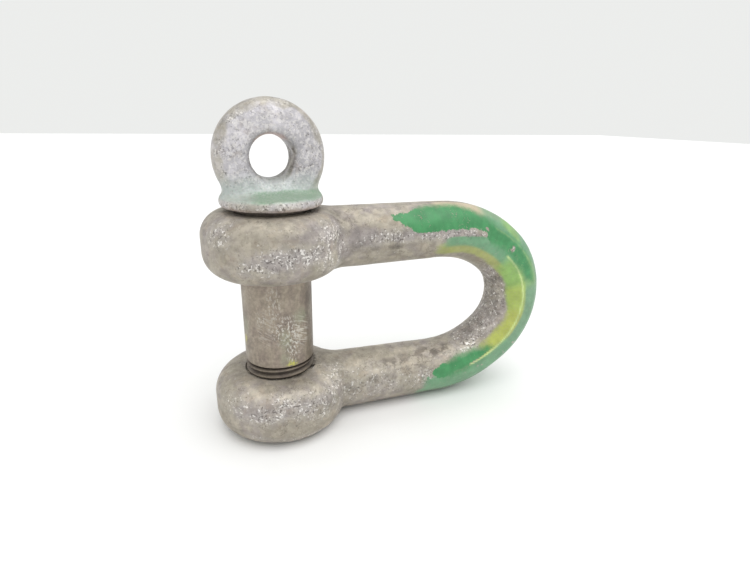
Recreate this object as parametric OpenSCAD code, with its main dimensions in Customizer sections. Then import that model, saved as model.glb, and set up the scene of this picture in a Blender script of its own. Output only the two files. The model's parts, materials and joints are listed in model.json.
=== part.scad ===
// Screw-pin D shackle, lying on its side with the pin upright.
// Origin: on the pin's axis, midway between the two ears.
// +Z runs up the pin towards its eye, +X towards the crown of the bow.

/* [Pin] */
// Diameter of the pin's plain shank and of its thread
pin_d = 56; // [52:0.5:57]
// Pitch of the right-hand thread
thread_pitch = 5.5; // [5:0.25:6]
// Clearance all round between the thread and the tapped hole
thread_clearance = 0.35; // [0.3:0.05:0.6]
// Gap under the collar, because the pin is unscrewed half a turn
collar_gap = 2.75; // [2:0.25:5.5]
// Length from the lower ear up to the end of the plain shank
thread_show = 9.5; // [4:0.25:12]
// Where the thread starts round the pin, as a share of a turn
thread_start = 0.4; // [0:0.05:0.95]
// Height of the pin's tip above the lower ear's underside
tip_inset = 3; // [3:0.5:6]

/* [Pin head] */
// Diameter of the collar
collar_d = 78; // [74:1:84]
// Height of the collar
collar_h = 8.5; // [6:0.5:10]
// Outer diameter of the eye
eye_d = 83; // [80:1:94]
// Diameter of the hole through the eye
eye_hole_d = 31; // [26:1:34]
// Thickness of the eye
eye_t = 28; // [27:1:40]
// Radius of the eye's rounded outer edge
eye_edge_r = 12; // [8:1:12]
// Radius of the rounded mouths of the eye's hole
eye_mouth_r = 5; // [2:0.5:7]
// Height of the eye's centre above the collar's seat
eye_rise = 36; // [36:1:50]
// Angle of the eye's plane from the plane of the bow
eye_turn = 5; // [-90:5:90]

/* [Ears] */
// Diameter of each ear
ear_d = 109; // [104:1:116]
// Thickness of each ear along the pin
ear_t = 50; // [46:1:56]
// Radius of each ear's rounded edge
ear_edge_r = 19; // [12:1:22]
// Clear gap between the ears
jaw_gap = 83; // [78:1:90]
// Diameter of the plain hole in the upper ear
ear_bore_d = 58.5; // [58.5:0.5:60]

/* [Bow] */
// Bar diameter where the legs meet the ears
leg_d = 52; // [50:0.5:54]
// Bar diameter round the bow
bow_d = 49.4; // [46:0.2:50]
// Length from the pin's axis to the end of the straight legs
leg_len = 142; // [130:1:160]
// Length from the end of the straight legs to the bar's centre at the crown
bow_len = 82.5; // [78:0.5:88]
// Centre-line radius of the tight arc at the crown
crown_r = 57; // [54:0.5:60]

/* [Hidden] */
$fn = 96;

// Heights along the pin
ear_in = jaw_gap / 2;
ear_out = ear_in + ear_t;
seat_z = ear_out + collar_gap;
shank_low = thread_show - ear_in;
tip_z = tip_inset - ear_out;

// Thread form: 60 degree flanks, cut 5/8 of the sharp height deep
flank = 30;
thread_steps = 32;
pin_r = pin_d / 2;
thread_root_r = pin_r - thread_pitch * 5 / 16 / tan(flank);
groove_r = thread_root_r - 0.5;
groove_h = 1.5;
tip_chamfer = 3;
shank_chamfer = 0.75;

// Bow: a large arc on each side and a tight arc at the crown
bow_r = bow_d / 2;
leg_r = leg_d / 2;
// The legs lie this far inside the plane of the ears' outer faces
leg_step = 0.1;
// Parts of the bar that overlap differ by this much in radius, so that they don't share a surface
bar_step = 0.15;
bow_half = ear_out - leg_step - bow_r;
side_r = (bow_half^2 + (bow_len - crown_r)^2 - crown_r^2) / (2 * (bow_half - crown_r));
side_sweep = atan2(bow_len - crown_r, side_r - bow_half);
// A leg starts inside the ear's rounded edge, clear of its flat face
leg_start = ear_d / 2 - ear_edge_r + 0.5;
mouth_chamfer = 1;

// A threaded rod whose flanks are moved out by grow, from below height low
module screw_rod(grow, low, turns) {
    root_half = thread_pitch / 8 - grow * tan(flank);
    crest_half = thread_pitch / 16 + grow * tan(flank);
    root_r = thread_root_r + grow;
    crest_r = pin_r + grow;
    outline = [
        [root_r, -root_half],
        [root_r, root_half],
        [crest_r, thread_pitch / 2 - crest_half],
        [crest_r, thread_pitch / 2 + crest_half]
    ];
    sides = len(outline);
    columns = sides * turns + 1;
    last = thread_steps - 1;
    wall = [
        for (i = [0:last])
            for (c = [0:columns - 1])
                let (
                    a = 360 * i / thread_steps,
                    p = outline[c % sides],
                    z = low + thread_pitch * (floor(c / sides) + i / thread_steps) + p[1]
                )
                [p[0] * cos(a), p[0] * sin(a), z]
    ];
    low_hub = len(wall);
    high_hub = low_hub + 1;
    hubs = [[0, 0, low], [0, 0, low + thread_pitch * (turns + 1)]];
    low_loop = concat(
        [for (i = [0:last]) i * columns],
        [for (c = [sides:-1:1]) c]
    );
    high_loop = concat(
        [for (i = [0:last]) (i + 1) * columns - 1],
        [for (c = [1:sides]) (last + 1) * columns - 1 - c]
    );
    low_cap = [
        for (k = [0:len(low_loop) - 1])
            [low_hub, low_loop[k], low_loop[(k + 1) % len(low_loop)]]
    ];
    high_cap = [
        for (k = [0:len(high_loop) - 1])
            [high_hub, high_loop[(k + 1) % len(high_loop)], high_loop[k]]
    ];
    // One step round from column c; past the last step it is one turn higher
    strips = [
        for (i = [0:last])
            for (c = [0:columns - 2 - (i == last ? sides : 0)])
                let (
                    here = i * columns + c,
                    next = i == last ? c + sides : here + columns
                )
                each [[here, here + 1, next + 1], [here, next + 1, next]]
    ];
    polyhedron(concat(wall, hubs), concat(strips, low_cap, high_cap), convexity = 10);
}

// Height of the thread's phase mark, shared by the pin and the tapped hole
thread_low = tip_z - (3 + thread_start) * thread_pitch;

// One ear: a thick disc with a rounded edge, centred on its middle plane
module ear_disc() {
    flat_r = ear_d / 2 - ear_edge_r;
    rotate_extrude()
        union() {
            translate([0, -ear_t / 2])
                square([flat_r, ear_t]);
            translate([0, ear_edge_r - ear_t / 2])
                square([ear_d / 2, ear_t - 2 * ear_edge_r]);
            for (side = [-1, 1])
                translate([flat_r, side * (ear_t / 2 - ear_edge_r)])
                    intersection() {
                        circle(r = ear_edge_r);
                        translate([0, -ear_edge_r])
                            square([ear_edge_r, 2 * ear_edge_r]);
                    }
        }
}

// A leg: a tapered bar whose outer side is flush with the ear's outer face
module leg() {
    run = leg_len - leg_start;
    slope = atan2(leg_r - bow_r, leg_len);
    start_r = leg_r - (leg_r - bow_r) * leg_start / leg_len;
    translate([leg_start, 0, ear_out - leg_step - start_r])
        rotate([0, 90 - slope, 0])
            cylinder(r1 = start_r, r2 = bow_r - bar_step, h = run + 2);
}

// Part of a ring of round bar in the XZ plane, from angle low_a through sweep
module bar_arc(centre, ring_r, bar_r, low_a, sweep) {
    translate([centre[0], 0, centre[1]])
        rotate([90, 0, 0])
            rotate([0, 0, low_a])
                rotate_extrude(angle = sweep)
                    translate([ring_r, 0])
                        circle(r = bar_r);
}

module bow() {
    overlap = 1;
    bar_arc([leg_len, bow_half - side_r], side_r, bow_r, 90 - side_sweep, side_sweep);
    bar_arc([leg_len, side_r - bow_half], side_r, bow_r, -90, side_sweep);
    bar_arc(
        [leg_len + bow_len - crown_r, 0],
        crown_r,
        bow_r - bar_step,
        side_sweep - 90 - overlap,
        180 - 2 * side_sweep + 2 * overlap
    );
}

// A cone that opens the mouth of a hole at height z, facing up or down
module mouth(hole_r, z, facing) {
    reach = 1;
    translate([0, 0, z])
        rotate([facing > 0 ? 0 : 180, 0, 0])
            translate([0, 0, -mouth_chamfer])
                cylinder(r1 = hole_r, r2 = hole_r + mouth_chamfer + reach, h = mouth_chamfer + reach);
}

module shackle_body() {
    tapped_r = pin_r + thread_clearance;
    color([0.60, 0.57, 0.52])
        difference() {
            union() {
                for (side = [-1, 1]) {
                    translate([0, 0, side * (ear_in + ear_t / 2)])
                        ear_disc();
                }
                leg();
                mirror([0, 0, 1])
                    leg();
                bow();
            }
            translate([0, 0, ear_in - 1])
                cylinder(d = ear_bore_d, h = ear_t + 2);
            mouth(ear_bore_d / 2, ear_out, 1);
            mouth(ear_bore_d / 2, ear_in, -1);
            screw_rod(thread_clearance, thread_low, ceil((ear_t + 4 * thread_pitch) / thread_pitch));
            mouth(tapped_r, -ear_in, 1);
            mouth(tapped_r, -ear_out, -1);
        }
}

module pin_shank() {
    color([0.55, 0.51, 0.45])
        union() {
            translate([0, 0, shank_low + shank_chamfer])
                cylinder(r = pin_r, h = seat_z - shank_low - shank_chamfer);
            translate([0, 0, shank_low])
                cylinder(r1 = pin_r - shank_chamfer, r2 = pin_r, h = shank_chamfer);
        }
}

// The ring of the eye, with its centre at the origin and its hole along Y
module eye_ring() {
    half = eye_t / 2;
    outer = eye_d / 2;
    inner = eye_hole_d / 2;
    rotate([90, 0, 0])
        rotate_extrude()
            union() {
                translate([inner, eye_mouth_r - half])
                    square([eye_mouth_r, eye_t - 2 * eye_mouth_r]);
                translate([inner + eye_mouth_r, -half])
                    square([outer - eye_edge_r - inner - eye_mouth_r, eye_t]);
                translate([outer - eye_edge_r, eye_edge_r - half])
                    square([eye_edge_r, eye_t - 2 * eye_edge_r]);
                for (side = [-1, 1]) {
                    translate([inner + eye_mouth_r, side * (half - eye_mouth_r)])
                        circle(r = eye_mouth_r);
                    translate([outer - eye_edge_r, side * (half - eye_edge_r)])
                        intersection() {
                            circle(r = eye_edge_r);
                            translate([0, -eye_edge_r])
                                square([eye_edge_r, 2 * eye_edge_r]);
                        }
                }
            }
}

module pin_head() {
    rim_r = collar_h / 2;
    neck_low_r = collar_d / 2 - rim_r - 1;
    neck_high_r = eye_t / 2;
    neck_low_z = collar_h - 0.5;
    neck_high_z = collar_h + 5;
    color([0.66, 0.66, 0.67])
        translate([0, 0, seat_z])
            rotate([0, 0, eye_turn])
                difference() {
                    union() {
                        // Collar with a rounded rim
                        rotate_extrude()
                            union() {
                                square([collar_d / 2 - rim_r, collar_h]);
                                translate([collar_d / 2 - rim_r, rim_r])
                                    intersection() {
                                        circle(r = rim_r);
                                        translate([0, -rim_r])
                                            square([rim_r, 2 * rim_r]);
                                    }
                            }
                        // Low neck on the collar, well below the eye's hole
                        translate([0, 0, neck_low_z])
                            cylinder(r1 = neck_low_r, r2 = neck_high_r, h = neck_high_z - neck_low_z);
                        translate([0, 0, eye_rise])
                            eye_ring();
                    }
                    // The eye stops at the collar's seat
                    translate([0, 0, -eye_d])
                        cylinder(d = 2 * eye_d, h = eye_d);
                }
}

module pin_thread() {
    groove_low = shank_low - groove_h;
    color([0.50, 0.47, 0.43])
        union() {
            intersection() {
                screw_rod(0, thread_low, ceil((groove_low - thread_low) / thread_pitch) + 2);
                translate([0, 0, tip_z])
                    rotate_extrude()
                        polygon([
                            [0, 0],
                            [pin_r - tip_chamfer, 0],
                            [pin_r + 1, tip_chamfer + 1],
                            [pin_r + 1, groove_low - tip_z],
                            [0, groove_low - tip_z]
                        ]);
            }
            translate([0, 0, groove_low - 1])
                cylinder(r = groove_r, h = groove_h + 1);
        }
}

shackle_body();
pin_shank();
pin_head();
pin_thread();
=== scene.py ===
"""The looks of a weathered, galvanised screw pin shackle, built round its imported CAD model.

Lengths are in millimetres until a mesh is made. The frame is the CAD's: the origin is on the pin's
axis midway between the ears, +Z runs up the pin, and +X runs towards the crown of the bow.
"""

import json
import math

import bpy
import numpy as np
import openvdb
from mathutils import Matrix, Vector


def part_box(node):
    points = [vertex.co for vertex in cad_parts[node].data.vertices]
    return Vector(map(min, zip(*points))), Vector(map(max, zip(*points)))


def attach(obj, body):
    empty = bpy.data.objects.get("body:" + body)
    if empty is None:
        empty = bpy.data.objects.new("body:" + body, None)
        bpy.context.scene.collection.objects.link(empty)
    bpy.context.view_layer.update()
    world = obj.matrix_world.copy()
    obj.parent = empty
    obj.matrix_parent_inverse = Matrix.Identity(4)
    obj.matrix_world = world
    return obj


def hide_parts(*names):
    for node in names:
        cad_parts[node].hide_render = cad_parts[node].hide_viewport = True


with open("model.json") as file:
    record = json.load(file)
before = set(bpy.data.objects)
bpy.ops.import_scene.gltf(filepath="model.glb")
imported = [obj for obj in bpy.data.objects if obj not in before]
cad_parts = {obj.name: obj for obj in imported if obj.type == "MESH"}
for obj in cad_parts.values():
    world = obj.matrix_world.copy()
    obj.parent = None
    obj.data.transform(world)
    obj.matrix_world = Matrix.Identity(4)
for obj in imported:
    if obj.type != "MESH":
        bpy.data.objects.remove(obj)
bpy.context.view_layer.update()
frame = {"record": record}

MM = 0.001


def box_mm(node):
    """A CAD node's lowest and highest corners, in millimetres."""
    return [np.array(corner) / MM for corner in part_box(node)]


# ---------------------------------------------------------------- sizes
body_low, body_high = box_mm("shackle_body")
shank_low, shank_high = box_mm("pin_shank")
head_low, head_high = box_mm("pin_head")
thread_low, _ = box_mm("pin_thread")
eye_hole = next(mount for mount in frame["record"]["mounts"] if mount["name"] == "eye_hole")

# Ears
EAR_R = body_high[1]
EAR_OUT = body_high[2]
EAR_IN = 41.5
EAR_EDGE_R = 19.0
EAR_MID = (EAR_OUT + EAR_IN) / 2
EAR_HALF = (EAR_OUT - EAR_IN) / 2
EAR_BORE_R = 29.25
MOUTH_CHAMFER = 1.0

# Bow: straight legs, LEG_STEP inside the ears' outer faces, then a large arc on each side and a
# tight arc at the crown
LEG_R = 26.0
BOW_R = 24.7
MM_PER_DEGREE = BOW_R * math.pi / 180
LEG_STEP = 0.1
LEG_LEN = 142.0
CROWN_R = 57.0
bow_half = EAR_OUT - LEG_STEP - BOW_R
bow_len = body_high[0] - BOW_R - LEG_LEN
SIDE_R = (bow_half**2 + (bow_len - CROWN_R) ** 2 - CROWN_R**2) / (2 * (bow_half - CROWN_R))
side_sweep = math.atan2(bow_len - CROWN_R, SIDE_R - bow_half)
SIDE_END = LEG_LEN + SIDE_R * side_sweep
CROWN_S = SIDE_END + CROWN_R * (math.pi / 2 - side_sweep)

# Flats down the sides of the bow: angles round the bar from its outside in degrees, and their run
FLAT_ANGLES = (62, 95)
FLAT_RUN = (190, 335)
FLAT_FADE = 16

# Pin
PIN_R = shank_high[0]
SEAT_Z = shank_high[2]
SHANK_END_Z = shank_low[2]
TIP_Z = thread_low[2]
PITCH = 5.5
THREAD_DEPTH = PITCH * 5 / 16 * math.sqrt(3)
GROOVE_H = 1.5
GROOVE_R = PIN_R - THREAD_DEPTH - 0.5
TIP_CHAMFER = 3.0
THREAD_GAP = 0.35
# The height that the turns of the pin's thread and of the tapped hole are both counted from
PHASE_Z = TIP_Z - 3.4 * PITCH

# Head of the pin. The collar's top is domed: it rises a little towards the neck.
COLLAR_R = 38.8
COLLAR_H = 8.5
COLLAR_EDGE = 0.3
DOME_RISE = 2.2
DOME_RUN = (COLLAR_R - 3, 14.0)
EYE_R = 41.4
EYE_HOLE_R = eye_hole["dims"]["r_mm"]
EYE_T = 27.6
EYE_EDGE_R = 12.0
EYE_MOUTH_R = 9.0
EYE_Z = eye_hole["pos_m"][2] / MM
EYE_TURN = math.radians(5)

# How widely one forged shape runs into the next; JAW_BLEND is added on the jaw's side of the ears
EAR_BLEND = 4.0
JAW_BLEND = 3.0
FACE_BLEND = 2.0
NECK_BLEND = 10.0
HOLE_BLEND = 1.5
SEAT_BLEND = 0.8

# Forging lumps, and the dents in them: size, share of the full depth, and a shift that keeps one
# noise off the next. The lumps' mean depth is half the sum of their shares.
LUMPS = ((34.0, 1.0, 0), (15.0, 0.6, 500), (6.5, 0.3, 900))
MEAN_LUMP = 0.95
DENTS = (21.0, 0.5, 1500)
PIT_SIZES = (1.2, 3.2)

# How far the lumpy surfaces stay inside the CAD's box
SKIN = 0.03

# Fineness of the meshes
BODY_VOXEL = 1.4
HEAD_VOXEL = 0.9
MOUTH_SIDES = 96
ROUND_SIDES = 128
SHANK_SIDES = 168
SHANK_STEP = 2.2
THREAD_STEPS = 64
SHARP_ANGLE = 38


# ---------------------------------------------------------------- noise and blending
class Noise:
    """Smooth random numbers from 0 to 1 through space, from a seeded lattice."""

    SIDE = 32

    def __init__(self, seed):
        self.lattice = np.random.default_rng(seed).random((self.SIDE,) * 3)

    def __call__(self, points, size):
        place = points / size
        cell = np.floor(place).astype(int)
        f = place - cell
        f = f * f * (3 - 2 * f)
        total = np.zeros(len(points))
        for corner in np.ndindex(2, 2, 2):
            at = (cell + corner) % self.SIDE
            weight = np.prod(np.where(corner, f, 1 - f), axis=1)
            total += weight * self.lattice[at[:, 0], at[:, 1], at[:, 2]]
        return total


def ramp(value, low, high):
    """0 below low, 1 above high and smooth between; low may be the larger one."""
    t = np.clip((value - low) / (high - low), 0, 1)
    return t * t * (3 - 2 * t)


def between(value, low, high, soft):
    """1 from low to high, falling to 0 over soft on both sides."""
    return ramp(value, low - soft, low) * ramp(value, high + soft, high)


def smooth_min(a, b, reach):
    """The smaller of two distances, rounded over where they are closer than reach."""
    h = np.maximum(reach - np.abs(a - b), 0) / reach
    return np.minimum(a, b) - h * h * reach / 4


def smooth_max(a, b, reach):
    return -smooth_min(-a, -b, reach)


# ---------------------------------------------------------------- distances to the shapes
def rounded_box_2d(u, v, half_u, half_v, radius):
    """Distance to a rectangle with rounded corners, centred at 0."""
    qu = np.abs(u) - (half_u - radius)
    qv = np.abs(v) - (half_v - radius)
    return np.hypot(np.maximum(qu, 0), np.maximum(qv, 0)) + np.minimum(np.maximum(qu, qv), 0) - radius


def bar_place(points):
    """For each point: how far along the bar's centre line it is from the pin's axis, by the upper
    leg, then its offset to the bow's outside and its distance from the centre line in the XZ plane."""
    x, height = points[:, 0], np.abs(points[:, 2])
    # Straight leg
    along = np.clip(x, 0, LEG_LEN)
    leg_z = EAR_OUT - LEG_STEP - (LEG_R + (BOW_R - LEG_R) * along / LEG_LEN)
    best_s = along
    best_out = height - leg_z
    best = np.hypot(x - along, height - leg_z)
    # Large side arc, then the tight arc at the crown
    arcs = (
        (LEG_LEN, bow_half - SIDE_R, SIDE_R, 0.0, side_sweep, LEG_LEN),
        (LEG_LEN + bow_len - CROWN_R, 0.0, CROWN_R, side_sweep, math.pi / 2, SIDE_END),
    )
    for centre_x, centre_z, radius, low, high, start in arcs:
        vx, vz = x - centre_x, height - centre_z
        angle = np.clip(np.arctan2(vx, vz), low, high)
        nearest_x, nearest_z = radius * np.sin(angle), radius * np.cos(angle)
        gap = np.hypot(vx - nearest_x, vz - nearest_z)
        out = (vx - nearest_x) * np.sin(angle) + (vz - nearest_z) * np.cos(angle)
        closer = gap < best
        best = np.where(closer, gap, best)
        best_out = np.where(closer, out, best_out)
        best_s = np.where(closer, start + radius * (angle - low), best_s)
    s = np.where(points[:, 2] < 0, 2 * CROWN_S - best_s, best_s)
    return s, best_out, best


def bar_distance(points):
    s, _, gap = bar_place(points)
    run = np.minimum(np.minimum(s, 2 * CROWN_S - s) / LEG_LEN, 1)
    return np.hypot(gap, points[:, 1]) - (LEG_R + (BOW_R - LEG_R) * run)


def ear_distance(points):
    radius = np.hypot(points[:, 0], points[:, 1])
    height = np.abs(points[:, 2]) - EAR_MID
    return rounded_box_2d(radius, height, EAR_R, EAR_HALF, EAR_EDGE_R)


def body_distance(points):
    """The forging without its holes. Ears and bar meet in a crease that fills out towards the jaw."""
    toward_jaw = ramp(EAR_OUT - np.abs(points[:, 2]), LEG_R, 2 * LEG_R)
    forged = smooth_min(ear_distance(points), bar_distance(points), EAR_BLEND + JAW_BLEND * toward_jaw)
    return smooth_max(forged, np.abs(points[:, 2]) - EAR_OUT, FACE_BLEND)


def eye_axes(points):
    """Offsets along the eye's plane, through its thickness, and up from its centre."""
    c, s = math.cos(EYE_TURN), math.sin(EYE_TURN)
    across = points[:, 0] * c + points[:, 1] * s
    through = points[:, 0] * s - points[:, 1] * c
    return across, through, points[:, 2] - EYE_Z


def head_distance(points):
    """Eye, neck and collar, blended as forged."""
    across, through, up = eye_axes(points)
    ring = np.hypot(across, up)
    half_width = (EYE_R - EYE_HOLE_R) / 2
    middle = EYE_HOLE_R + half_width
    edge = np.where(ring > middle, EYE_EDGE_R, EYE_MOUTH_R)
    eye = rounded_box_2d(ring - middle, through, half_width, EYE_T / 2, edge)
    radius = np.hypot(points[:, 0], points[:, 1])
    above = points[:, 2] - SEAT_Z
    half = COLLAR_H / 2
    dome = half + DOME_RISE * ramp(radius, *DOME_RUN)
    half_height = np.where(above > half, dome, half)
    collar = rounded_box_2d(radius, above - half, COLLAR_R, half_height, half - COLLAR_EDGE)
    # The dome makes the collar's distance a little steep, so it is eased before the blend
    shape = smooth_min(eye, collar * 0.95, NECK_BLEND)
    # The hole goes through the eye only
    hole = np.where(np.abs(through) < EYE_T, EYE_HOLE_R - ring, -9.0)
    shape = smooth_max(shape, hole, HOLE_BLEND)
    return smooth_max(shape, -above, SEAT_BLEND)


# ---------------------------------------------------------------- meshes
def slope(distance, points):
    """The gradient of a distance at these points."""
    step = 0.05
    parts = []
    for axis in np.eye(3) * step:
        parts.append((distance(points + axis) - distance(points - axis)) / (2 * step))
    return np.stack(parts, axis=1)


def skin_of(distance, low, high, voxel):
    """Points and faces of the surface where distance is 0, with an even mesh of about voxel."""
    margin = 3 * voxel
    start = low - margin
    counts = np.ceil((high - low + 2 * margin) / voxel).astype(int)
    axes = [start[k] + voxel * np.arange(counts[k]) for k in range(3)]
    values = np.empty(counts, np.float32)
    for i, x in enumerate(axes[0]):
        y, z = np.meshgrid(axes[1], axes[2], indexing="ij")
        layer = np.stack([np.full(y.size, x), y.ravel(), z.ravel()], axis=1)
        values[i] = distance(layer).reshape(y.shape)
    grid = openvdb.FloatGrid(float(margin))
    grid.copyFromArray(values)
    points, quads = grid.convertToQuads(0.0)
    points = points.astype(float) * voxel + start
    # Slide the points on to the surface itself
    for _ in range(3):
        g = slope(distance, points)
        points -= g * (distance(points) / np.maximum((g * g).sum(1), 0.05))[:, None]
    return points, quads.astype(int)


def mesh_object(name, points, faces):
    mesh = bpy.data.meshes.new(name)
    mesh.from_pydata(points * MM, [], [list(map(int, f)) for f in faces])
    mesh.validate()
    made = bpy.data.objects.new(name, mesh)
    bpy.context.scene.collection.objects.link(made)
    return made


def points_of(made):
    """A mesh's points, in millimetres."""
    found = np.empty(len(made.data.vertices) * 3)
    made.data.vertices.foreach_get("co", found)
    return found.reshape(-1, 3) / MM


def move_points(made, points):
    made.data.vertices.foreach_set("co", (points * MM).ravel())
    made.data.update()


def face_outwards(made):
    """Turns all faces over if the closed mesh's volume comes out negative."""
    mesh = made.data
    mesh.calc_loop_triangles()
    tris = np.empty(len(mesh.loop_triangles) * 3, np.int32)
    mesh.loop_triangles.foreach_get("vertices", tris)
    a, b, c = points_of(made)[tris.reshape(-1, 3)].transpose(1, 0, 2)
    if (a * np.cross(b, c)).sum() < 0:
        mesh.flip_normals()
    return made


def lathe(name, profile, segments):
    """A closed solid turned about Z. The profile is (radius, height) from the bottom up, both ends
    on the axis."""
    rings = profile[1:-1]
    angles = np.arange(segments) * 2 * math.pi / segments
    points = [(0, 0, profile[0][1])]
    for radius, height in rings:
        points += [(radius * math.cos(a), radius * math.sin(a), height) for a in angles]
    points.append((0, 0, profile[-1][1]))
    last = len(points) - 1
    faces = []
    for k in range(segments):
        after = (k + 1) % segments
        faces.append((0, 1 + after, 1 + k))
        for ring in range(len(rings) - 1):
            here, above = 1 + ring * segments, 1 + (ring + 1) * segments
            faces.append((here + k, here + after, above + after, above + k))
        top = 1 + (len(rings) - 1) * segments
        faces.append((last, top + k, top + after))
    return face_outwards(mesh_object(name, np.array(points, float), faces))


def screw_rod(name, grow, turns, steps):
    """A right-hand threaded rod from PHASE_Z up, with its flanks moved out by grow."""
    flank = math.tan(math.radians(30))
    root_half = PITCH / 8 - grow * flank
    crest_half = PITCH / 16 + grow * flank
    root_r, crest_r = PIN_R - THREAD_DEPTH + grow, PIN_R + grow
    outline = (
        (root_r, -root_half),
        (root_r, root_half),
        (crest_r, PITCH / 2 - crest_half),
        (crest_r, PITCH / 2 + crest_half),
    )
    sides = len(outline)
    columns = sides * turns + 1
    points = []
    for i in range(steps):
        a = 2 * math.pi * i / steps
        for c in range(columns):
            radius, offset = outline[c % sides]
            z = PHASE_Z + PITCH * (c // sides + i / steps) + offset
            points.append((radius * math.cos(a), radius * math.sin(a), z))
    low_hub = len(points)
    high_hub = low_hub + 1
    points += [(0, 0, PHASE_Z), (0, 0, PHASE_Z + PITCH * (turns + 1))]
    faces = []
    for i in range(steps):
        seam = i == steps - 1
        for c in range(columns - 1 - (sides if seam else 0)):
            here = i * columns + c
            after = c + sides if seam else here + columns
            faces += [(here, after + 1, here + 1), (here, after, after + 1)]
    low_loop = [i * columns for i in range(steps)] + list(range(sides, 0, -1))
    high_loop = [(i + 1) * columns - 1 for i in range(steps)]
    high_loop += [steps * columns - 1 - c for c in range(1, sides + 1)]
    for k, here in enumerate(low_loop):
        faces.append((low_hub, low_loop[(k + 1) % len(low_loop)], here))
    for k, here in enumerate(high_loop):
        faces.append((high_hub, here, high_loop[(k + 1) % len(high_loop)]))
    return face_outwards(mesh_object(name, np.array(points, float), faces))


def combine(made, other, operation):
    """A boolean of two closed meshes; other is used up."""
    modifier = made.modifiers.new("combine", "BOOLEAN")
    modifier.operation = operation
    modifier.solver = "MANIFOLD"
    modifier.object = other
    bpy.context.view_layer.update()
    result = bpy.data.meshes.new_from_object(made.evaluated_get(bpy.context.evaluated_depsgraph_get()))
    made.modifiers.remove(modifier)
    old = made.data
    made.data = result
    bpy.data.meshes.remove(old)
    bpy.data.objects.remove(other)
    return made


def weather(made, distance, seed, lumps, pit_count, pit_depth, low, high, flats=None):
    """Adds forging lumps, shallow dents, scattered pits and any flats, and keeps the points within
    the box from low to high."""
    points = points_of(made)
    g = slope(distance, points)
    normals = g / np.maximum(np.linalg.norm(g, axis=1), 1e-6)[:, None]
    noise = Noise(seed)
    depth = np.zeros(len(points))
    for size, share, shift in LUMPS:
        depth += share * lumps * noise(points + shift, size)
    # Dents, as left by a hammer or a bump
    size, share, shift = DENTS
    depth += share * lumps * ramp(noise(points + shift, size), 0.66, 0.86)
    # The lumps go out as far as they go in
    depth -= MEAN_LUMP * lumps
    if flats is not None:
        depth += flats(points)
    chooser = np.random.default_rng(seed + 1)
    for k in chooser.integers(0, len(points), pit_count):
        size = chooser.uniform(*PIT_SIZES)
        deep = pit_depth * chooser.uniform(0.3, 1.0) * size / 3
        offset = points - points[k]
        near = np.flatnonzero((np.abs(offset) < 3 * size).all(axis=1))
        gap = (offset[near] ** 2).sum(1)
        depth[near] += deep * np.exp(-gap / size**2)
    move_points(made, np.clip(points - normals * depth[:, None], low + SKIN, high - SKIN))
    return made


def bow_flats(points):
    """How deep the flats down both sides of the bow are forged, between the two raised lines."""
    s, out, _ = bar_place(points)
    angle = np.degrees(np.arctan2(np.abs(points[:, 1]), out))
    low, high = FLAT_ANGLES
    half, middle = math.radians(high - low) / 2, (low + high) / 2
    off = np.radians(np.clip(angle - middle, -math.degrees(half), math.degrees(half)))
    return BOW_R * (1 - math.cos(half) / np.cos(off)) * between(s, *FLAT_RUN, FLAT_FADE)


def smooth_shaded(made):
    """Shades a mesh smooth, apart from its sharp edges."""
    made.data.polygons.foreach_set("use_smooth", [True] * len(made.data.polygons))
    made.data.set_sharp_from_angle(angle=math.radians(SHARP_ANGLE))
    made.data.update()


def store(made, name, values):
    """Keeps one number for each vertex, for the material to read."""
    attribute = made.data.attributes.new(name, "FLOAT", "POINT")
    attribute.data.foreach_set("value", np.asarray(values, np.float32))


def store_vector(made, name, values, kind):
    """Keeps three numbers for each vertex, as a vector or as a colour."""
    attribute = made.data.attributes.new(name, kind, "POINT")
    if kind == "FLOAT_COLOR":
        values = np.hstack([values, np.ones((len(values), 1))])
        attribute.data.foreach_set("color", np.asarray(values, np.float32).ravel())
    else:
        attribute.data.foreach_set("vector", np.asarray(values, np.float32).ravel())


def rod(name, radius, low, high):
    """A plain round rod on Z, from one height to another."""
    profile = [(0, low), (radius, low), (radius, high), (0, high)]
    return lathe(name, profile, ROUND_SIDES)


def mouth_cones(name, radius, *ends):
    """Cones that break the edges of a hole: each end is (height, 1 for up or -1 for down)."""
    reach = 1.0
    made = None
    for height, facing in ends:
        inner = (radius, height - facing * MOUTH_CHAMFER)
        outer = (radius + MOUTH_CHAMFER + reach, height + facing * reach)
        rings = [inner, outer] if facing > 0 else [outer, inner]
        cone = lathe(name, [(0, rings[0][1]), *rings, (0, rings[1][1])], MOUTH_SIDES)
        made = cone if made is None else combine(made, cone, "UNION")
    return made


def make_body():
    """The forging, with a plain hole in the upper ear and a tapped one in the lower ear."""
    points, faces = skin_of(body_distance, body_low, body_high, BODY_VOXEL)
    made = face_outwards(mesh_object("forged_body", points, faces))
    lumpy = {"seed": 11, "lumps": 0.34, "pit_count": 420, "pit_depth": 0.5}
    weather(made, body_distance, low=body_low, high=body_high, flats=bow_flats, **lumpy)
    over = 3.0
    combine(made, rod("bore", EAR_BORE_R, EAR_IN - over, EAR_OUT + over), "DIFFERENCE")
    combine(made, mouth_cones("mouth", EAR_BORE_R, (EAR_OUT, 1), (EAR_IN, -1)), "DIFFERENCE")
    turns = math.ceil((EAR_OUT - EAR_IN) / PITCH) + 4
    combine(made, screw_rod("tapped", THREAD_GAP, turns, THREAD_STEPS), "DIFFERENCE")
    tapped_r = PIN_R + THREAD_GAP
    combine(made, mouth_cones("mouth", tapped_r, (-EAR_IN, 1), (-EAR_OUT, -1)), "DIFFERENCE")
    smooth_shaded(made)
    return made


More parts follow.
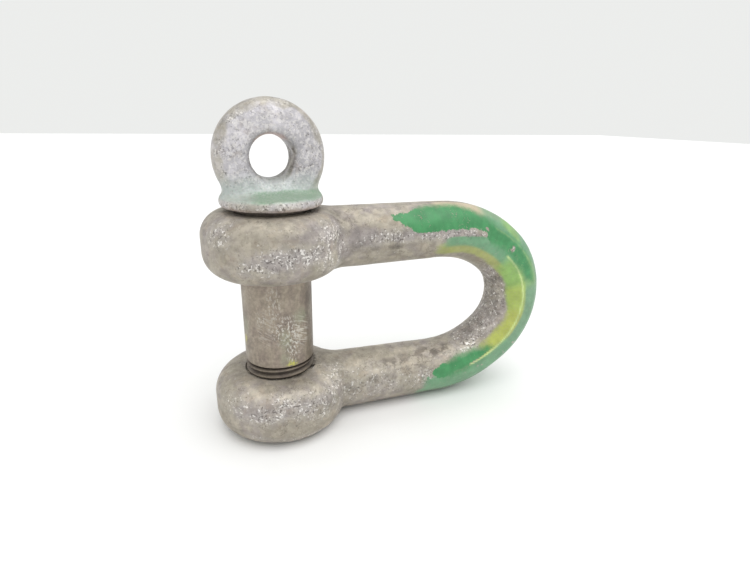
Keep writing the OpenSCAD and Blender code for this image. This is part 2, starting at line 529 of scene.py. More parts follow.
def shank_profile():
    """Plain shank with broken edges, from just inside the thread up into the collar."""
    heights = np.arange(SHANK_END_Z + 0.75, SEAT_Z + 2.5, SHANK_STEP)
    rings = [(0, SHANK_END_Z), (PIN_R - 0.9, SHANK_END_Z)]
    rings += [(PIN_R, z) for z in heights]
    return rings + [(0, heights[-1])]


def shank_distance(points):
    return np.hypot(points[:, 0], points[:, 1]) - PIN_R


def make_head():
    """The pin's eye, neck and collar."""
    points, faces = skin_of(head_distance, head_low, head_high, HEAD_VOXEL)
    made = face_outwards(mesh_object("eye_and_collar", points, faces))
    lumpy = {"seed": 23, "lumps": 0.22, "pit_count": 160, "pit_depth": 0.35}
    weather(made, head_distance, low=head_low, high=head_high, **lumpy)
    smooth_shaded(made)
    return made


def make_shank():
    """The plain shank, a narrow groove below it and the threaded end with its chamfered tip."""
    made = lathe("shank_and_thread", shank_profile(), SHANK_SIDES)
    lumpy = {"seed": 31, "lumps": 0.08, "pit_count": 60, "pit_depth": 0.2}
    inside_collar = np.array([0, 0, 3])
    weather(made, shank_distance, low=shank_low, high=shank_high + inside_collar, **lumpy)
    groove_low = SHANK_END_Z - GROOVE_H
    turns = math.ceil((groove_low - PHASE_Z) / PITCH) + 2
    threaded = screw_rod("threaded", 0.0, turns, THREAD_STEPS)
    tip_r = PIN_R - TIP_CHAMFER
    envelope = [(0, TIP_Z), (tip_r, TIP_Z), (PIN_R + 1, TIP_Z + TIP_CHAMFER + 1)]
    envelope += [(PIN_R + 1, groove_low), (0, groove_low)]
    combine(threaded, lathe("envelope", envelope, ROUND_SIDES), "INTERSECT")
    combine(threaded, rod("groove", GROOVE_R, groove_low - 1, SHANK_END_Z + 1), "UNION")
    combine(made, threaded, "UNION")
    smooth_shaded(made)
    return made


# ---------------------------------------------------------------- colours
def colour(red, green, blue):
    """A colour as seen on screen, from 0 to 255, as the linear numbers that Blender mixes."""
    seen = np.array([red, green, blue]) / 255
    return np.where(seen <= 0.04045, seen / 12.92, ((seen + 0.055) / 1.055) ** 2.4)


# Old zinc, its stains and what sits on it; the dark zinc and the grime are also painted shade
ZINC_WARM = colour(169, 161, 147)
ZINC_COOL = colour(150, 142, 139)
ZINC_PALE = colour(190, 187, 192)
ZINC_LIGHT = colour(172, 166, 155)
DARK_ZINC_AND_PAINTED_SHADE = colour(102, 95, 87)
RUST_DUST = colour(160, 142, 122)
WHITE_RUST = colour(240, 236, 232)
PIT = colour(70, 61, 56)
BARE_STEEL = colour(156, 145, 130)
STEEL_DARK = colour(142, 130, 120)
GRIME_AND_PAINTED_SHADE = colour(56, 50, 46)
PINK = colour(206, 172, 162)
SCRAPED = colour(222, 218, 210)
CHATTERED = colour(214, 208, 198)

# Sprayed paints
EMERALD = colour(70, 144, 90)
DEEP_GREEN = colour(58, 128, 78)
SEAFOAM = colour(108, 154, 118)
SAGE = colour(114, 152, 120)
LIME = colour(140, 178, 96)
YELLOW = colour(168, 176, 86)
OLIVE = colour(160, 166, 98)
PEACH = colour(196, 182, 154)
PALE_LINE = colour(194, 214, 146)
EYE_MIST = colour(172, 188, 180)
EYE_GREEN = colour(126, 154, 128)
PIN_GREEN = colour(138, 148, 124)
PIN_YELLOW = colour(196, 196, 84)


# ---------------------------------------------------------------- marks on the surface
def spots(u, v, marks):
    """Soft oval marks, each (u, v, half_u, half_v, strength). Where they overlap, the strongest
    shows."""
    total = np.zeros(len(u))
    for at_u, at_v, half_u, half_v, strength in marks:
        gap = np.hypot((u - at_u) / half_u, (v - at_v) / half_v)
        total = np.maximum(total, strength * ramp(gap, 1.5, 0.4))
    return total


def inside(u, v, outline):
    """How far (u, v) is inside an outline, whose corners are (u, v): negative outside it."""
    corners = np.array(outline, float)
    nearest = np.full(len(u), 1e9)
    crossings = np.zeros(len(u), int)
    for (u0, v0), (u1, v1) in zip(corners, np.roll(corners, -1, axis=0)):
        du, dv = u1 - u0, v1 - v0
        t = np.clip(((u - u0) * du + (v - v0) * dv) / (du * du + dv * dv), 0, 1)
        nearest = np.minimum(nearest, np.hypot(u - u0 - t * du, v - v0 - t * dv))
        spans = (v0 > v) != (v1 > v)
        if dv:
            crossings += spans & (u < u0 + (v - v0) * du / dv)
    return np.where(crossings % 2 == 1, nearest, -nearest)


def unrolled(outline):
    """An outline round the bar with its angles in degrees turned into millimetres."""
    return [(along, angle * MM_PER_DEGREE) for along, angle in outline]


def lay(under, cover, weight, over):
    """Lays a colour over what is there. Returns the new colours and how much metal they hide."""
    weight = weight[:, None]
    shown = 1 - (1 - cover[:, None]) * (1 - weight)
    mixed = (under * (cover[:, None] * (1 - weight)) + over * weight) / np.maximum(shown, 1e-6)
    return np.where(shown > 1e-6, mixed, over), shown[:, 0]


# How far the paint on the far side is moved along the bar, and in degrees round it
FAR_SHIFT = 14
FAR_TURN = 9

# Distance from a coat that is as good as none, in millimetres
NO_COAT = 20.0

# Thin sprayed colour on the bow: colour, strength, place along the bar and how far it fades, angle
# round the bar from its outside and how far that fades
SPRAYED = (
    (PEACH, 0.70, (136, 184), 12, (8, 38), 10),
    (SEAFOAM, 0.80, (176, 236), 10, (-20, 60), 12),
    (LIME, 0.60, (196, 204), 9, (-20, 44), 12),
    (SAGE, 0.92, (236, 330), 16, (-20, 86), 10),
    (OLIVE, 0.75, (140, 214), 14, (116, 128), 14),
    (SEAFOAM, 0.95, (146, 222), 12, (88, 110), 9),
    (LIME, 0.45, (222, 246), 9, (62, 90), 12),
    (LIME, 0.92, (214, 268), 14, (100, 122), 15),
    (YELLOW, 0.62, (250, 320), 14, (100, 122), 15),
    (YELLOW, 0.85, (280, 310), 12, (98, 114), 12),
    (SEAFOAM, 0.75, (306, 330), 10, (56, 92), 10),
    (SEAFOAM, 0.82, (334, 386), 12, (54, 92), 8),
    (SAGE, 0.65, (330, 392), 14, (-20, 52), 14),
)

# Thick green coats on the bow: corners as (place along the bar, angle round it in degrees)
COATS = (
    (
        (91, 43), (97, 41), (105, 40), (112, 30), (124, 23), (148, 22), (162, 33), (175, 46),
        (186, 56), (206, 57), (228, 58), (244, 66), (240, 84), (222, 93), (186, 92), (178, 88),
        (176, 74), (166, 72), (154, 79), (132, 81), (112, 79), (102, 64), (94, 54),
    ),
    (
        (316, 98), (330, 93), (352, 88), (374, 87), (388, 90), (386, 104), (374, 118), (354, 126),
        (336, 124), (321, 112),
    ),
)

# Bare, crusted strip that the paint has flaked from, as corners of the same kind
STRIP = ((110, 82), (140, 82), (160, 78), (176, 66), (178, 84), (160, 92), (134, 96), (112, 92))


# Marks on the ears: angle round the pin from the near side in degrees, height, half sizes, strength
# The two low marks at heights -82 and -84 are painted highlights on pits, laid on as white crust; the
# rest are crust.
EAR_CRUST_AND_GLINTS = (
    (-55, 80, 14, 9, 0.9), (8, 66, 34, 9, 1.0), (46, 68, 24, 20, 1.0), (-20, 60, 18, 7, 0.9),
    (-10, -56, 56, 11, 0.9), (35, -60, 34, 12, 0.9), (62, -50, 26, 9, 0.9), (-30, -82, 14, 5, 0.7),
    (10, -84, 30, 4, 0.8),
    (150, 62, 40, 12, 0.8), (-140, 70, 30, 10, 0.7), (160, -60, 36, 10, 0.7), (-120, -66, 24, 9, 0.6),
)
EAR_COOL = (
    (5, 66, 36, 7, 0.9), (30, 80, 30, 8, 0.7), (58, 72, 9, 20, 1.0), (0, -56, 46, 7, 0.6),
    (-150, 68, 40, 10, 0.8), (140, -64, 40, 12, 0.6),
)
# EAR_PAINTED_LIGHT is painted light: lighter zinc on the ears' upper faces and a pale edge where the
# upper ear meets the leg.
EAR_PAINTED_LIGHT = (
    (55, -48, 36, 9, 1.0), (-35, -47, 34, 7, 0.8), (48, 72, 24, 20, 1.0), (-60, -60, 16, 16, 0.4),
)

# Marks on the bar: place along it, angle round it, half sizes, strength
BAR_DARK = (
    (88, 104, 18, 5, 0.7), (60, 96, 8, 12, 0.5), (380, 148, 34, 14, 0.9), (425, 138, 22, 10, 0.8),
    (440, 108, 18, 8, 0.6), (462, 92, 14, 12, 0.6), (405, 120, 16, 5, 0.5),
)
BAR_CRUST = (
    (92, 84, 26, 16, 0.9), (70, 90, 16, 14, 0.6), (338, 138, 16, 16, 1.2), (366, 134, 16, 8, 0.7),
    (455, 128, 30, 16, 0.4), (450, 96, 40, 30, 0.7), (420, 100, 22, 26, 0.6), (394, 92, 12, 22, 1.0),
)
# BAR_PAINTED_LIGHT is painted light: lighter zinc on the faces of the bar that the light and the
# bright floor fall on.
BAR_PAINTED_LIGHT = (
    (415, 145, 60, 26, 1.0), (342, 132, 16, 14, 1.0), (280, 145, 60, 26, 0.6), (90, 24, 40, 30, 0.5),
    (75, 150, 30, 30, 0.3),
)
CHIPS = (
    (335, 80, 4, 7, 1.0), (207, 75, 3, 6, 1.0), (262, 70, 2, 8, 0.9), (300, 66, 2, 8, 0.9),
    (389, 94, 5, 8, 1.0), (178, 66, 4, 4, 0.9), (312, 66, 2, 6, 0.8), (232, 12, 9, 6, 0.7),
    (268, 4, 14, 7, 0.8), (290, 22, 7, 5, 0.7),
)
BAR_COOL = ((68, 80, 20, 18, 1.0), (100, 84, 18, 10, 0.7), (144, 86, 30, 8, 1.0))


def body_marks(made):
    """What the forging's material reads at each point."""
    points = points_of(made)
    s, out, _ = bar_place(points)
    angle = np.degrees(np.arctan2(np.abs(points[:, 1]), out))
    # The far side was sprayed by the same hand, not as a mirror image
    sway = np.sin(np.radians(angle)) * (points[:, 1] > 0)
    s = s + FAR_SHIFT * sway
    angle = angle - FAR_TURN * sway
    noise = Noise(seed=47)
    drift = 9 * (noise(points, 26.0) - 0.5)
    lean = 18 * (noise(points + 300, 22.0) - 0.5)
    on_bar = ramp(points[:, 0], 58, 70)

    tint = np.zeros((len(points), 3))
    cover = np.zeros(len(points))
    for paint, strength, run, run_fade, turn, turn_fade in SPRAYED:
        weight = between(s + drift, *run, run_fade) * between(angle + lean, *turn, turn_fade)
        tint, cover = lay(tint, cover, strength * weight * on_bar, paint)

    # The two raised lines where the sprays met
    pale = between(angle, 95, 96.5, 2.2) * between(s, 208, 344, 4)
    pale = np.maximum(pale, 0.6 * between(angle, 60, 62, 2.0) * between(s, 176, 228, 6))
    tint, cover = lay(tint, cover, 0.85 * pale * ramp(noise(points, 7.0), 0.1, 0.4), PALE_LINE)

    # How far each point is inside a thick coat, less where a raised line or a chip breaks it
    round_bar = angle * MM_PER_DEGREE
    coat = np.full(len(points), -NO_COAT)
    for outline in COATS:
        coat = np.maximum(coat, inside(s, round_bar, unrolled(outline)))
    coat = coat - 16 * pale * between(s, 300, 344, 4)
    chips = spots(s, angle, CHIPS) * ramp(noise(points, 3.0), 0.35, 0.55)
    coat = coat - 16 * chips
    cover = cover * (1 - np.clip(chips, 0, 1))
    strip = inside(s, round_bar, unrolled(STRIP))
    # Sprayed edges are soft; flaked ones, at the ends and along the bare strip, are sharp
    flaked = np.maximum(ramp(s, 120, 108), ramp(s, 364, 376))
    flaked = np.maximum(flaked, between(s, 100, 180, 6) * between(angle, 64, 95, 6))
    store(made, "soft", 7.0 - 6.4 * flaked)
    store(made, "coat", np.clip(coat, -12, 12) * on_bar - 12 * (1 - on_bar))
    store(made, "cover", cover * ramp(strip, 1.5, -1.0))
    store_vector(made, "tint", tint, "FLOAT_COLOR")

    # Zinc: smears run along the bar and round the ears, and each kind of mark has its own places
    turn = np.degrees(np.arctan2(points[:, 0], -points[:, 1]))
    height = points[:, 2]
    on_ear = ear_distance(points) < bar_distance(points)
    smear_u = np.where(on_ear, np.radians(np.abs(turn)) * EAR_R, s)
    smear_v = np.where(on_ear, height, round_bar)
    store_vector(made, "along", np.stack([smear_u, smear_v, 0 * s], axis=1), "FLOAT_VECTOR")
    in_ear = ramp(points[:, 0], 60, 45)
    # The ears' crust marks include painted highlights on pits low on the lower ear.
    crust = in_ear * spots(turn, height, EAR_CRUST_AND_GLINTS)
    crust = np.maximum(crust, np.maximum(0.85 * ramp(strip, -4, 1), chips))
    crust = np.maximum(crust, spots(s, angle, BAR_CRUST))
    inner = ramp(angle, 122, 140) * between(s, 205, 345, 18)
    crust = np.maximum(crust, 0.75 * inner)
    store(made, "crust", crust)
    cool = np.maximum(in_ear * spots(turn, height, EAR_COOL), spots(s, angle, BAR_COOL))
    store(made, "cool", np.maximum(cool, 0.3 * inner))
    # Painted light: these marks make the zinc lighter where light falls on the ears and the bar.
    light = np.maximum(in_ear * spots(turn, height, EAR_PAINTED_LIGHT), spots(s, angle, BAR_PAINTED_LIGHT))
    store(made, "light", light)
    # Darker inside the crown and in the dark patches on the bar; darker in the crease between ear and
    # bar, which is painted shade, and inside the bore, which is grime and painted shade.
    dark = 0.7 * inner * between(s, 225, 325, 20)
    dark = np.maximum(dark, spots(s, angle, BAR_DARK))
    crease = ramp(np.abs(ear_distance(points)) + np.abs(bar_distance(points)), 9, 1)
    bore = ramp(np.hypot(points[:, 0], points[:, 1]), EAR_BORE_R + 1.5, EAR_BORE_R - 0.2)
    store(made, "dark", np.clip(dark + 0.4 * crease + 0.8 * bore, 0, 1))


# Marks on the eye: angle round the hole in degrees, distance from its centre, half sizes, strength
EYE_CRUST = (
    (132, 37, 12, 4, 1.0), (180, 37, 26, 4, 0.8), (-160, 36, 18, 4, 0.7), (80, 39, 14, 3, 0.8),
    (20, 37, 30, 4, 0.7),
)


def head_marks(made):
    """What the eye's material reads at each point."""
    points = points_of(made)
    across, through, up = eye_axes(points)
    ring = np.hypot(across, up)
    angle = np.degrees(np.arctan2(up, across))
    store_vector(made, "along", points, "FLOAT_VECTOR")
    noise = Noise(seed=53)
    wobble = 5 * (noise(points, 9.0) - 0.5)
    above = points[:, 2] - SEAT_Z
    face = between(ring + wobble, EYE_HOLE_R + 4, EYE_R - 9, 5)
    face = face * ramp(above, COLLAR_H - 1, COLLAR_H + 9)
    store(made, "pale", face)
    crust = np.maximum(0.45 * face, spots(angle, ring, EYE_CRUST))
    rim = ramp(np.hypot(points[:, 0], points[:, 1]), 33, 37)
    store(made, "crust", np.maximum(crust, 0.8 * rim * ramp(above, 10, 6)))
    hole = ramp(ring, EYE_HOLE_R + 3.2, EYE_HOLE_R + 0.4)
    pink = hole * between(angle, 60, 130, 20)
    below = 0.4 * ramp(above, 4, 1) * between(noise(points, 17.0), 0.5, 1, 0.2)
    store(made, "pink", np.maximum(pink, below))
    # Painted shade: darker in the hole's mouth, most on its lower side, and at the collar's seat.
    lower = between(angle, -170, 20, 25)
    store(made, "dark", np.clip(hole * (0.3 + 0.5 * lower) + 0.9 * ramp(above, 0.8, 0.1), 0, 1))
    near = ramp(through, -4, 4)
    wash = ramp(above + wobble, 30, 12) * ramp(above, 5.5, 8)
    strong = between(above + 0.4 * wobble, 8.5, 11.5, 2) * between(across + 2 * wobble, -12, 34, 14)
    store(made, "wash", wash * (0.45 + 0.25 * near))
    store(made, "green", strong * (0.4 + 0.5 * near))


# Marks on the shank: angle round it from the near side, height, half sizes, strength
SHANK_SCUFFS = (
    (6, 0, 24, 12, 0.9), (14, -10, 14, 14, 1.0), (12, -24, 8, 8, 0.8), (-14, 22, 12, 14, 0.5),
    (-35, 10, 10, 6, 0.5), (170, -5, 30, 18, 0.8), (-120, 15, 20, 12, 0.6),
)
SHANK_CHATTER = ((32, -2, 16, 13, 1.0), (-30, 2, 14, 14, 0.4), (200, 5, 20, 14, 0.8))
SHANK_GREEN = ((32, 10, 14, 6, 0.5), (2, -8, 9, 9, 0.45), (0, -24, 8, 6, 0.4), (-75, 2, 10, 8, 0.4))
SHANK_YELLOW = ((12, -29, 9, 2.2, 1.0), (-76, -12, 6, 4, 0.5))


def shank_marks(made):
    """What the shank's material reads at each point."""
    points = points_of(made)
    turn = np.degrees(np.arctan2(points[:, 0], -points[:, 1]))
    height = points[:, 2]
    flat = np.stack([np.radians(turn) * PIN_R, height, 0 * height], axis=1)
    store_vector(made, "along", flat, "FLOAT_VECTOR")
    store(made, "scuff", spots(turn, height, SHANK_SCUFFS))
    store(made, "chatter", spots(turn, height, SHANK_CHATTER))
    store(made, "green", spots(turn, height, SHANK_GREEN))
    store(made, "yellow", spots(turn, height, SHANK_YELLOW))
    # The dark mask: the thread a little darker, and painted shade in the thread's roots, where the
    # shank goes into the upper ear and down the side towards the bow.
    thread = ramp(height, SHANK_END_Z + 0.4, SHANK_END_Z - 0.4)
    root = ramp(np.hypot(points[:, 0], points[:, 1]), PIN_R - 0.4, PIN_R - 2.4)
    top = ramp(height, EAR_IN - 4, EAR_IN + 1)
    shade = 0.35 * between(turn, 48, 85, 10)
    store(made, "dark", np.clip(thread * (0.25 + 0.7 * root) + 0.7 * top + shade, 0, 1))


# ---------------------------------------------------------------- material building
class Shader:
    """Short calls that build one material's nodes. Sizes are in millimetres."""

    def __init__(self, name):
        self.material = bpy.data.materials.new(name)
        self.material.use_nodes = True
        self.tree = self.material.node_tree
        self.surface = self.tree.nodes["Principled BSDF"]
        place = self.node("ShaderNodeTexCoord").outputs["Object"]
        self.place = self.shade(place, 1 / MM)

    def feed(self, made, inputs):
        """Gives a node its inputs: links where they come from other nodes, otherwise plain values."""
        for key, value in inputs.items():
            socket = made.inputs[key]
            if isinstance(value, bpy.types.NodeSocket):
                self.tree.links.new(value, socket)
            elif socket.type == "RGBA":
                socket.default_value = (*value, 1.0)
            else:
                socket.default_value = value

    def node(self, kind, inputs=None, **settings):
        made = self.tree.nodes.new(kind)
        for name, value in settings.items():
            setattr(made, name, value)
        self.feed(made, inputs or {})
        return made

    def math(self, operation, a, b=0.0):
        return self.node("ShaderNodeMath", {0: a, 1: b}, operation=operation).outputs[0]

    def times(self, a, b):
        return self.math("MULTIPLY", a, b)

    def plus(self, a, b):
        return self.math("ADD", a, b)

    def minus(self, a, b):
        return self.math("SUBTRACT", a, b)

    def most(self, a, b):
        return self.math("MAXIMUM", a, b)

    def ramp(self, value, low, high, to_low=0.0, to_high=1.0):
        """to_low up to low, to_high from high on, and smooth between."""
        inputs = {"Value": value, "From Min": low, "From Max": high}
        inputs.update({"To Min": to_low, "To Max": to_high})
        made = self.node("ShaderNodeMapRange", inputs, interpolation_type="SMOOTHSTEP")
        return made.outputs["Result"]

    def vary(self, noise, low, high):
        """A number from low to high, following a noise over the range that it mostly keeps to."""
        return self.ramp(noise, 0.3, 0.7, low, high)

    def noise(self, size, detail=2.0, rough=0.5, stretch=(1, 1, 1), place=None, shift=0.0, bend=0.0):
        scale = [1 / (size * k) for k in stretch]
        inputs = {"Vector": place or self.place, "Scale": scale, "Location": (shift, shift, shift)}
        moved = self.node("ShaderNodeMapping", inputs, vector_type="POINT").outputs[0]
        inputs = {"Vector": moved, "Scale": 1.0, "Detail": detail}
        inputs.update({"Roughness": rough, "Distortion": bend})
        return self.node("ShaderNodeTexNoise", inputs).outputs[0]

    def read(self, name, kind="Fac"):
        """What one of the marks functions stored under this name."""
        return self.node("ShaderNodeAttribute", attribute_name=name).outputs[kind]

    def mix(self, factor, under, over):
        """One colour laid over another."""
        inputs = {0: factor, 6: under, 7: over}
        return self.node("ShaderNodeMix", inputs, data_type="RGBA").outputs[2]

    def shade(self, tone, value):
        """A colour, or a place, times a number."""
        inputs = {0: tone, "Scale": value}
        return self.node("ShaderNodeVectorMath", inputs, operation="SCALE").outputs[0]

    def finish(self, tone, rough, metallic, height):
        """Joins up the surface. The height is in millimetres."""
        bump = self.node("ShaderNodeBump", {"Height": height, "Distance": MM, "Strength": 1.0})
        inputs = {"Base Color": tone, "Roughness": rough}
        inputs.update({"Metallic": metallic, "Normal": bump.outputs[0]})
        self.feed(self.surface, inputs)
        return self.material


def old_zinc(m, warm, cool, cool_mask, crust, dark):
    """Weathered galvanising: drifting warm and cool greys, stains, pits and white crust. Returns its
    colour, roughness and height."""
    large = m.noise(32, 3, 0.6)
    medium = m.noise(10, 5, 0.62, shift=7.3)
    small = m.noise(3.2, 3, 0.6, shift=3.1)
    fine = m.noise(1.3, 2, 0.6, shift=1.7)
    smear = m.noise(5.0, 3, 0.6, stretch=(2.6, 1, 1), place=m.read("along", "Vector"), shift=2.0)
    drift = m.plus(m.times(large, 0.5), m.times(medium, 0.5))
    tone = m.mix(m.ramp(m.plus(drift, m.times(cool_mask, 0.2)), 0.42, 0.68), warm, cool)
    stain = m.ramp(m.noise(14, 5, 0.65, shift=12.9, bend=0.6), 0.50, 0.70)
    tone = m.mix(m.times(stain, 0.35), tone, RUST_DUST)
    # Dark zinc comes in blotches where the dark mask is: real grime in some places, painted shade in
    # the crease, the bore, the eye's hole and under the collar.
    blotch = m.ramp(m.noise(8, 5, 0.62, shift=95.0), 0.45, 0.55, 0.15, 0.95)
    tone = m.mix(m.times(dark, blotch), tone, DARK_ZINC_AND_PAINTED_SHADE)
    tone = m.shade(tone, m.vary(large, 0.90, 1.10))
    tone = m.shade(tone, m.ramp(smear, 0.32, 0.68, 0.92, 1.07))
    # Old water marks leave patches with ragged edges
    tone = m.shade(tone, m.ramp(m.noise(13, 6, 0.66, shift=61.0), 0.50, 0.54, 0.93, 1.06))
    tone = m.shade(tone, m.ramp(m.noise(5.5, 5, 0.6, shift=71.0), 0.48, 0.54, 0.92, 1.06))
    # Thin dark veins follow the middle of a noise, and come and go
    vein = m.math("ABSOLUTE", m.minus(m.noise(10, 5, 0.62, shift=81.0), 0.5))
    vein = m.times(m.ramp(vein, 0.012, 0.003), m.ramp(m.noise(16, 2, 0.5, shift=85.0), 0.48, 0.60))
    tone = m.mix(m.times(vein, 0.65), tone, PIT)
    # Crust gathers in clumps, white where it stands up and black in its holes
    clump = m.times(crust, m.ramp(m.noise(8, 3, 0.6, shift=33.0), 0.37, 0.52, 0.2, 1.0))
    tone = m.mix(m.times(clump, 0.16), tone, WHITE_RUST)
    grain = m.times(m.minus(fine, 0.5), 0.3)
    beads = m.plus(m.noise(2.1, 3, 0.6, shift=23.0), grain)
    flakes = m.ramp(m.minus(beads, m.minus(0.67, m.times(clump, 0.15))), 0.0, 0.07)
    tone = m.mix(m.times(flakes, m.plus(0.4, m.times(clump, 0.4))), tone, WHITE_RUST)
    holes = m.plus(m.noise(2.0, 3, 0.6, shift=51.0), grain)
    pepper = m.ramp(m.minus(m.plus(0.34, m.times(clump, 0.10)), holes), 0.0, 0.06)
    tone = m.mix(m.times(pepper, m.plus(0.3, m.times(clump, 0.35))), tone, PIT)
    rough = m.plus(m.vary(medium, 0.46, 0.62), m.times(flakes, 0.15))
    height = m.times(small, m.plus(0.3, m.times(clump, 0.8)))
    height = m.plus(height, m.times(fine, m.plus(0.08, m.times(clump, 0.2))))
    height = m.plus(height, m.times(flakes, 0.2))
    height = m.minus(height, m.times(pepper, m.plus(0.08, m.times(clump, 0.25))))
    return tone, rough, height


def forging_material():
    """Old zinc with thin sprayed paint and a thick green coat over it."""
    m = Shader("galvanised_and_paint")
    crust = m.read("crust")
    tone, rough, height = old_zinc(m, ZINC_WARM, ZINC_COOL, m.read("cool"), crust, m.read("dark"))
    # Painted light: the zinc is made lighter where the light marks lie.
    tone = m.shade(tone, m.plus(1.0, m.times(m.read("light"), 0.30)))
    ragged = m.plus(m.noise(5, 4, 0.65, shift=5.0), m.times(m.noise(1.4, 3, 0.7, shift=9.0), 0.6))
    ragged = m.minus(ragged, 0.8)
    streaks = m.noise(3.2, 4, 0.6, stretch=(1, 9, 1), place=m.read("along", "Vector"))
    # Thin sprayed colour, worn through in specks
    thin = m.ramp(m.plus(m.read("cover"), m.times(ragged, 0.7)), 0.04, 0.88)
    worn = m.ramp(m.noise(1.2, 5, 0.75, shift=14.0), 0.55, 0.66)
    thin = m.times(thin, m.minus(1.0, m.times(worn, 0.5)))
    sprayed = m.shade(m.read("tint", "Color"), m.vary(streaks, 0.96, 1.04))
    sprayed = m.shade(sprayed, m.vary(m.noise(9, 4, 0.6, shift=3.0), 0.88, 1.12))
    tone = m.mix(thin, tone, sprayed)
    # Thick green coat, with an edge that is soft or flaked and a scatter of chips
    edge = m.math("DIVIDE", m.plus(m.read("coat"), m.times(ragged, 7.5)), m.read("soft"))
    coat = m.ramp(edge, -0.7, 0.7)
    chips = m.plus(m.noise(1.6, 4, 0.75, shift=31.0), m.times(m.noise(14, 2, 0.5, shift=2.0), 0.3))
    chips = m.ramp(chips, 0.80, 0.84)
    coat = m.times(coat, m.minus(1.0, chips))
    green = m.mix(m.ramp(m.noise(12, 3, 0.6, shift=17.0), 0.35, 0.7), DEEP_GREEN, EMERALD)
    green = m.shade(green, m.vary(streaks, 0.94, 1.07))
    tone = m.mix(coat, tone, green)
    painted = m.most(coat, thin)
    glossy = m.vary(streaks, 0.36, 0.5)
    rough = m.node("ShaderNodeMix", {0: painted, 2: rough, 3: glossy}).outputs[0]
    metallic = m.ramp(painted, 0.0, 1.0, 0.35, 0.0)
    height = m.plus(m.times(height, m.ramp(coat, 0.0, 1.0, 1.0, 0.35)), m.times(coat, 0.22))
    height = m.plus(height, m.times(thin, 0.06))
    return m.finish(tone, rough, metallic, height)


def head_material():
    """Pale, frosted zinc with a mist of paint low down."""
    m = Shader("galvanised_eye")
    pale = m.read("pale")
    # The dark mask here is painted shade in the hole's mouth and at the collar's seat.
    crust, dark = m.read("crust"), m.read("dark")
    tone, rough, height = old_zinc(m, ZINC_LIGHT, ZINC_PALE, m.times(pale, 1.5), crust, dark)
    frost = m.ramp(m.noise(2.4, 3, 0.6, shift=91.0), 0.50, 0.58)
    tone = m.mix(m.times(frost, m.plus(0.12, m.times(pale, 0.28))), tone, WHITE_RUST)
    speck = m.ramp(m.noise(1.3, 4, 0.7, shift=41.0), 0.35, 0.65)
    tone = m.mix(m.times(m.read("pink"), 0.6), tone, PINK)
    wash = m.times(m.read("wash"), m.ramp(speck, 0.0, 1.0, 0.5, 1.0))
    tone = m.mix(wash, tone, EYE_MIST)
    green = m.times(m.read("green"), m.ramp(speck, 0.0, 1.0, 0.55, 1.0))
    tone = m.mix(green, tone, EYE_GREEN)
    metallic = m.ramp(m.most(wash, green), 0.0, 1.0, 0.4, 0.1)
    return m.finish(tone, rough, metallic, height)


def shank_material():
    """Steel that the load has worn bare."""
    m = Shader("worn_pin")
    along = m.read("along", "Vector")
    streaks = m.noise(2.4, 4, 0.6, stretch=(1, 4, 1), place=along)
    broad = m.noise(9, 4, 0.6, stretch=(1, 1.8, 1), place=along, shift=4.0)
    small = m.noise(2.6, 4, 0.65, shift=8.0)
    patches = m.ramp(m.noise(8, 6, 0.66, shift=6.0), 0.49, 0.53)
    tone = m.mix(m.ramp(broad, 0.38, 0.68), BARE_STEEL, STEEL_DARK)
    tone = m.shade(tone, m.vary(streaks, 0.93, 1.05))
    tone = m.shade(tone, m.ramp(patches, 0.0, 1.0, 0.94, 1.05))
    tone = m.shade(tone, m.vary(small, 0.84, 1.14))
    # Scraped and crusted where the load has rubbed
    scuff = m.read("scuff")
    bright = m.noise(1.6, 3, 0.6, stretch=(1, 2.0, 1), place=along, shift=12.0)
    bright = m.times(m.ramp(bright, 0.52, 0.58), scuff)
    tone = m.mix(m.times(bright, 0.75), tone, SCRAPED)
    black = m.times(m.ramp(m.noise(1.8, 3, 0.6, shift=15.0), 0.42, 0.36), scuff)
    tone = m.mix(m.times(black, 0.5), tone, GRIME_AND_PAINTED_SHADE)
    # Slanting chatter marks
    slant = {"Vector": along, "Rotation": (0, 0, math.radians(24))}
    turned = m.node("ShaderNodeMapping", slant).outputs[0]
    lines = m.noise(1.3, 1, 0.5, stretch=(7, 1, 1), place=turned)
    lines = m.times(m.ramp(lines, 0.50, 0.58), m.read("chatter"))
    tone = m.mix(m.times(lines, 0.7), tone, CHATTERED)
    # Traces of the paint
    green = m.times(m.read("green"), m.ramp(small, 0.35, 0.6, 0.4, 1.0))
    tone = m.mix(green, tone, PIN_GREEN)
    yellow = m.times(m.read("yellow"), m.ramp(small, 0.42, 0.52))
    tone = m.mix(yellow, tone, PIN_YELLOW)
    # Painted shade: the dark mask darkens the steel in the thread's roots, under the upper ear and
    # down one side.
    tone = m.mix(m.times(m.read("dark"), 0.85), tone, GRIME_AND_PAINTED_SHADE)
    rough = m.vary(broad, 0.40, 0.56)
    metallic = m.ramp(yellow, 0.0, 1.0, 0.45, 0.0)
    height = m.plus(m.times(streaks, 0.12), m.times(small, 0.22))
    height = m.plus(height, m.times(m.plus(lines, bright), 0.1))
    return m.finish(tone, rough, metallic, height)


# ---------------------------------------------------------------- stage, light and camera
FLOOR_HALF = 6000.0
FLOOR_PARTS = 8
FLOOR_DARK = (0.88, 0.88, 0.88)
FLOOR_LIGHT = (0.91, 0.91, 0.91)

SKY_TONE = (0.99, 1.0, 0.985)
SKY_STRENGTH = 0.85
SUN_FROM = (0.12, -0.30, 0.94)
SUN_STRENGTH = 1.5
SUN_SPREAD = 60

# Camera: turned about its target from looking along +Y, to the left, up and then tilted, in degrees
CAMERA_AZIMUTH = -19.674
CAMERA_ELEVATION = 19.220
CAMERA_ROLL = 0.979
CAMERA_TARGET = (84.49, 0.0, 23.60)
CAMERA_DISTANCE = 415.36
SENSOR_WIDTH = 36.0
LENS = 22.94


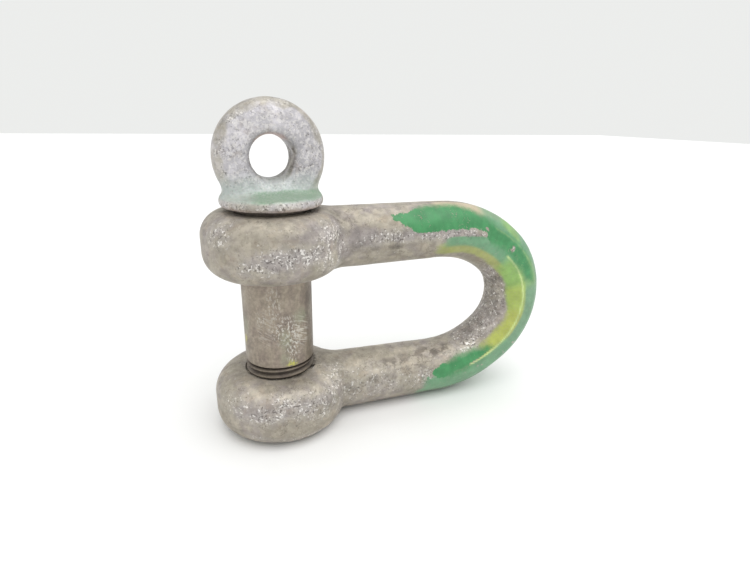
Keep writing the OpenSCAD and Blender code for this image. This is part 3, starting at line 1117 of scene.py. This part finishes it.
def make_floor():
    """A large pale sheet that the shackle lies on its side on."""
    steps = np.linspace(-FLOOR_HALF, FLOOR_HALF, FLOOR_PARTS + 1)
    points = [(x, y, body_low[2]) for y in steps for x in steps]
    row = FLOOR_PARTS + 1
    faces = []
    for r in range(FLOOR_PARTS):
        for c in range(FLOOR_PARTS):
            corner = r * row + c
            faces.append((corner, corner + 1, corner + row + 1, corner + row))
    made = mesh_object("floor", np.array(points, float), faces)
    m = Shader("floor_sheet")
    tone = m.mix(m.vary(m.noise(240, 3, 0.5), 0.0, 1.0), FLOOR_DARK, FLOOR_LIGHT)
    rough = m.vary(m.noise(60), 0.45, 0.6)
    made.data.materials.append(m.finish(tone, rough, 0.0, m.times(m.noise(3), 0.02)))


def make_light():
    """An even sky and one broad sun."""
    world = bpy.data.worlds.new("studio")
    world.use_nodes = True
    background = world.node_tree.nodes["Background"]
    background.inputs["Color"].default_value = (*SKY_TONE, 1)
    background.inputs["Strength"].default_value = SKY_STRENGTH
    bpy.context.scene.world = world
    light = bpy.data.lights.new("sun", "SUN")
    light.energy = SUN_STRENGTH
    light.angle = math.radians(SUN_SPREAD)
    made = bpy.data.objects.new("sun", light)
    bpy.context.scene.collection.objects.link(made)
    made.rotation_euler = Vector(SUN_FROM).to_track_quat("Z", "Y").to_euler()
    bpy.context.scene.view_settings.view_transform = "Standard"


def make_camera():
    camera = bpy.data.cameras.new("camera")
    camera.sensor_width = SENSOR_WIDTH
    camera.lens = LENS
    camera.clip_start = 10 * MM
    made = bpy.data.objects.new("camera", camera)
    bpy.context.scene.collection.objects.link(made)
    turned = Matrix.Rotation(math.radians(CAMERA_AZIMUTH), 4, "Z")
    turned = turned @ Matrix.Rotation(math.pi / 2 - math.radians(CAMERA_ELEVATION), 4, "X")
    turned = turned @ Matrix.Rotation(math.radians(CAMERA_ROLL), 4, "Z")
    target = Matrix.Translation(Vector(CAMERA_TARGET) * MM)
    made.matrix_world = target @ turned @ Matrix.Translation((0, 0, CAMERA_DISTANCE * MM))
    bpy.context.scene.camera = made


# ---------------------------------------------------------------- the object
def fit(made, marks, material, body, slot, *nodes):
    """Gives a piece its marks and material, and its place in the moving model."""
    marks(made)
    made.data.materials.clear()
    made.data.materials.append(material)
    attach(made, body)
    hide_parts(*nodes)


make_camera()
make_light()
make_floor()
fit(make_body(), body_marks, forging_material(), "shackle", "galvanised_body", "shackle_body")
fit(make_head(), head_marks, head_material(), "pin_screw", "galvanised_eye", "pin_head")
fit(make_shank(), shank_marks, shank_material(), "pin_screw", "worn_pin", "pin_shank", "pin_thread")
